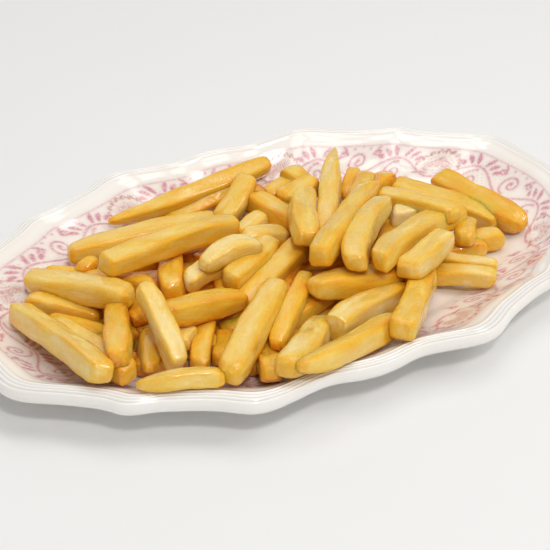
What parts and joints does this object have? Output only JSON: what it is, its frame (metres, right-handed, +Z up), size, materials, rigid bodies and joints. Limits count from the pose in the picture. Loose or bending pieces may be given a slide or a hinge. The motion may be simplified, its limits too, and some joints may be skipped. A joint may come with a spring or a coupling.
{
  "type": "french fries portion",
  "caption": "Heap of thick-cut french fries on an oval earthenware platter with a lobed, moulded rim and a pink printed border.",
  "frame": {"origin": "on the table under the middle of the platter's foot", "axes": "+Z up; X along the platter's long axis, Y across it"},
  "size_m": [0.304, 0.1864, 0.0439],
  "materials": {
    "platter_glaze": "clear gloss glaze over cream earthenware, with a soft pink transfer border on the rim",
    "fried_potato": "golden fried skin with a thin oily sheen, paler on flat sides and browner at ends and edges"
  },
  "bodies": {
    "root": {"platter": "platter_glaze", "fries": "fried_potato"}
  },
  "joints": []
}
